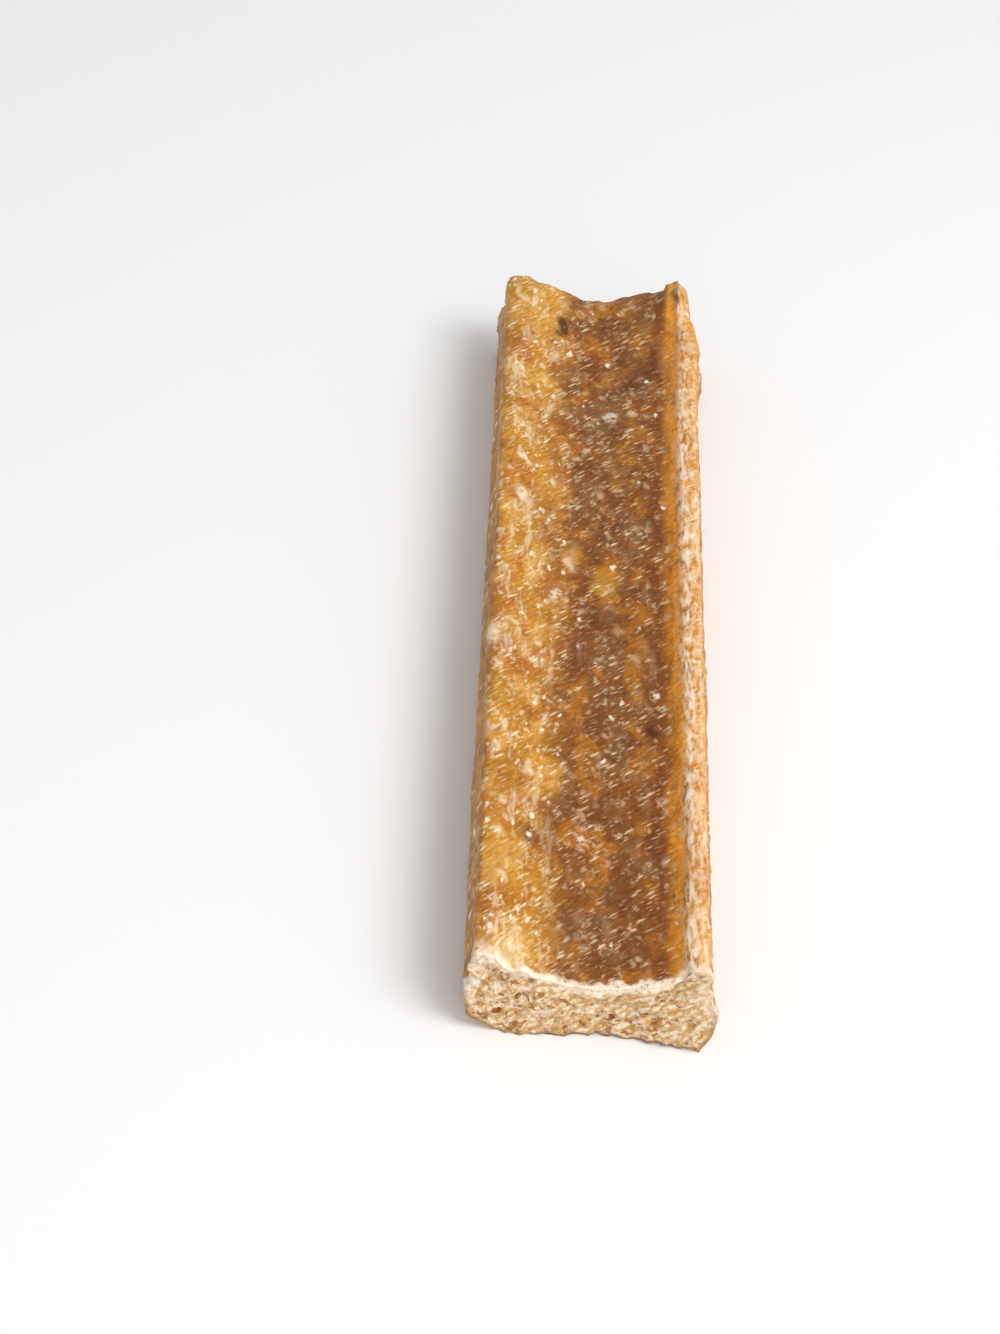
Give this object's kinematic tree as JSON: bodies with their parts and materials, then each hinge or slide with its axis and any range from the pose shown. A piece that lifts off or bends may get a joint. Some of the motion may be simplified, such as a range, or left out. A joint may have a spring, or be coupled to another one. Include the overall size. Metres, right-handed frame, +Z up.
{
  "type": "dried hard cheese bar",
  "caption": "Long straight bar of pressed and dried hard cheese with a broad channel sunk along its top between two rounded rims, grooved sides and rough cut ends.",
  "frame": {"origin": "middle of the flat underside that the bar rests on", "axes": "+X across the bar, +Y along the bar, away from the end with the lost corner, and +Z up through the channel"},
  "size_m": [0.033, 0.148, 0.015],
  "materials": {
    "dried_cheese": "amber-brown, half see-through dried cheese packed with cream and white curd grains, worn pale along the rims, with pale porous cut ends"
  },
  "bodies": {
    "root": {"cheese_bar": "dried_cheese"}
  },
  "joints": []
}
